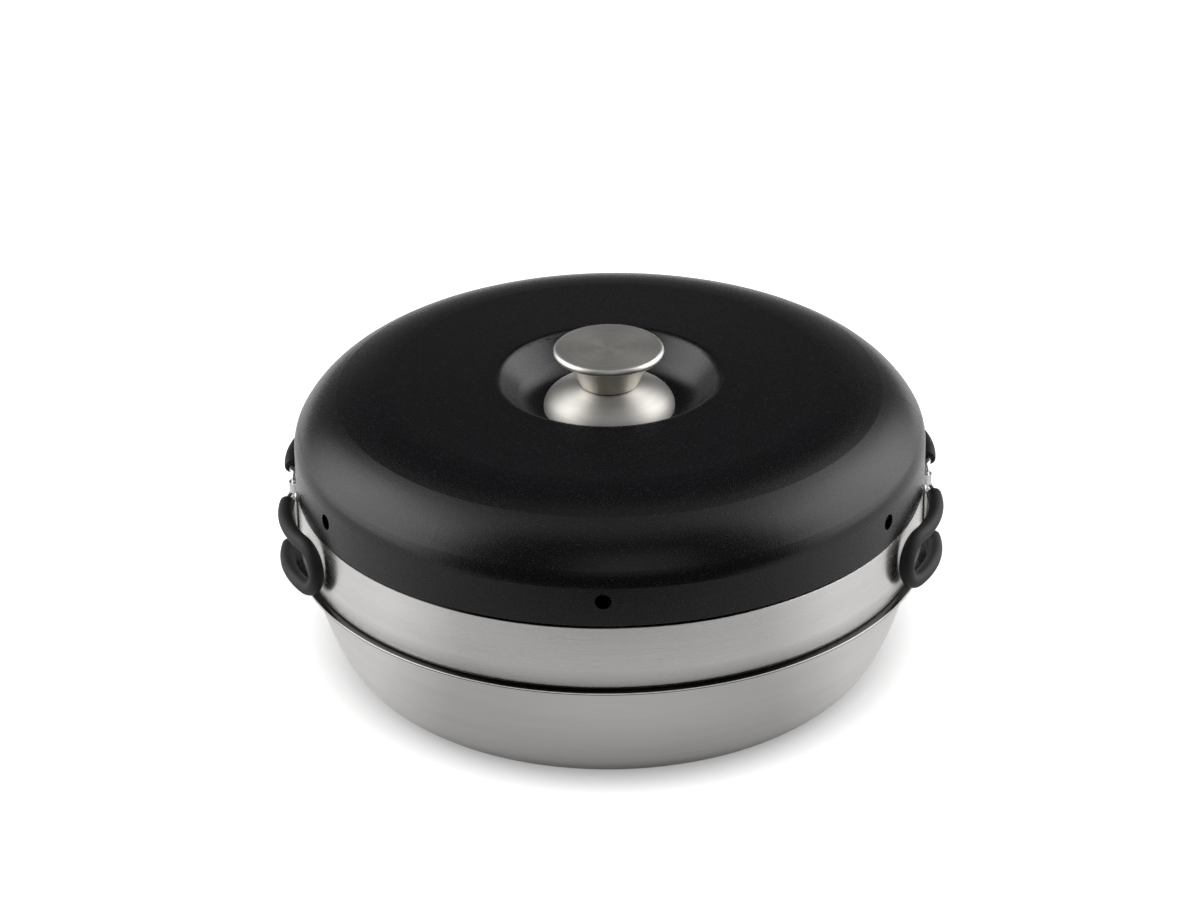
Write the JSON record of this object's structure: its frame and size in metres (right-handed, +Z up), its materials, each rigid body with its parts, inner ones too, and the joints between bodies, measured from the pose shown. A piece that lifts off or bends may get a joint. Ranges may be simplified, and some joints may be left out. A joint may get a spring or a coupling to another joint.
{
  "type": "stovetop camp oven",
  "caption": "Round stovetop camp oven: spun base bowl, ring-shaped baking pan with fold-away wire handles, and a domed black lid with a knob.",
  "frame": {"origin": "centre of the base bowl's flat bottom, on the surface that the oven stands on", "axes": "+Z up along the oven's axis; +X towards the right-hand handle bracket; the front faces -Y"},
  "size_m": [0.2938, 0.2846, 0.1527],
  "materials": {
    "bowl_steel": "satin spun stainless steel",
    "pan_steel": "stainless steel brushed round the wall",
    "bracket_steel": "bright stainless strip and rivets",
    "wire_steel": "bright drawn stainless wire",
    "knob_steel": "fine-turned stainless steel",
    "fastener_steel": "plain zinc-bright steel",
    "lid_coating": "satin black coating with a fine speckle",
    "sleeve_silicone": "matte charcoal silicone"
  },
  "bodies": {
    "base": {"base_bowl": "bowl_steel"},
    "pan": {"baking_pan": "pan_steel", "chimney_tube": "pan_steel", "left_bracket": "bracket_steel", "right_bracket": "bracket_steel", "left_rivets": "bracket_steel", "right_rivets": "bracket_steel"},
    "lid": {"lid_shell": "lid_coating", "knob_base": "knob_steel", "knob_stem": "knob_steel", "knob_cap": "knob_steel", "knob_screw": "fastener_steel", "knob_washer": "fastener_steel", "knob_lock_washer": "fastener_steel"},
    "left_front_handle": {"left_front_handle_wire": "wire_steel", "left_front_handle_sleeve": "sleeve_silicone"},
    "left_back_handle": {"left_back_handle_wire": "wire_steel", "left_back_handle_sleeve": "sleeve_silicone"},
    "right_front_handle": {"right_front_handle_wire": "wire_steel", "right_front_handle_sleeve": "sleeve_silicone"},
    "right_back_handle": {"right_back_handle_wire": "wire_steel", "right_back_handle_sleeve": "sleeve_silicone"}
  },
  "joints": [
    {"name": "pan_lift", "type": "slide", "parent": "base", "child": "pan", "axis": [0, 0, 1], "range_m": [0, 0.08]},
    {"name": "lid_lift", "type": "slide", "parent": "pan", "child": "lid", "axis": [0, 0, 1], "range_m": [0, 0.1]},
    {"name": "left_front_handle_fold", "type": "hinge", "parent": "pan", "child": "left_front_handle", "pos_m": [-0.14169, -0.009, 0.07585], "axis": [0, 0, -1], "range_deg": [-0.5, 90]},
    {"name": "left_back_handle_fold", "type": "hinge", "parent": "pan", "child": "left_back_handle", "pos_m": [-0.14169, 0.009, 0.07585], "axis": [0, 0, 1], "range_deg": [-0.5, 90]},
    {"name": "right_front_handle_fold", "type": "hinge", "parent": "pan", "child": "right_front_handle", "pos_m": [0.14169, -0.009, 0.07585], "axis": [0, 0, 1], "range_deg": [-0.5, 90]},
    {"name": "right_back_handle_fold", "type": "hinge", "parent": "pan", "child": "right_back_handle", "pos_m": [0.14169, 0.009, 0.07585], "axis": [0, 0, -1], "range_deg": [-0.5, 90]}
  ]
}
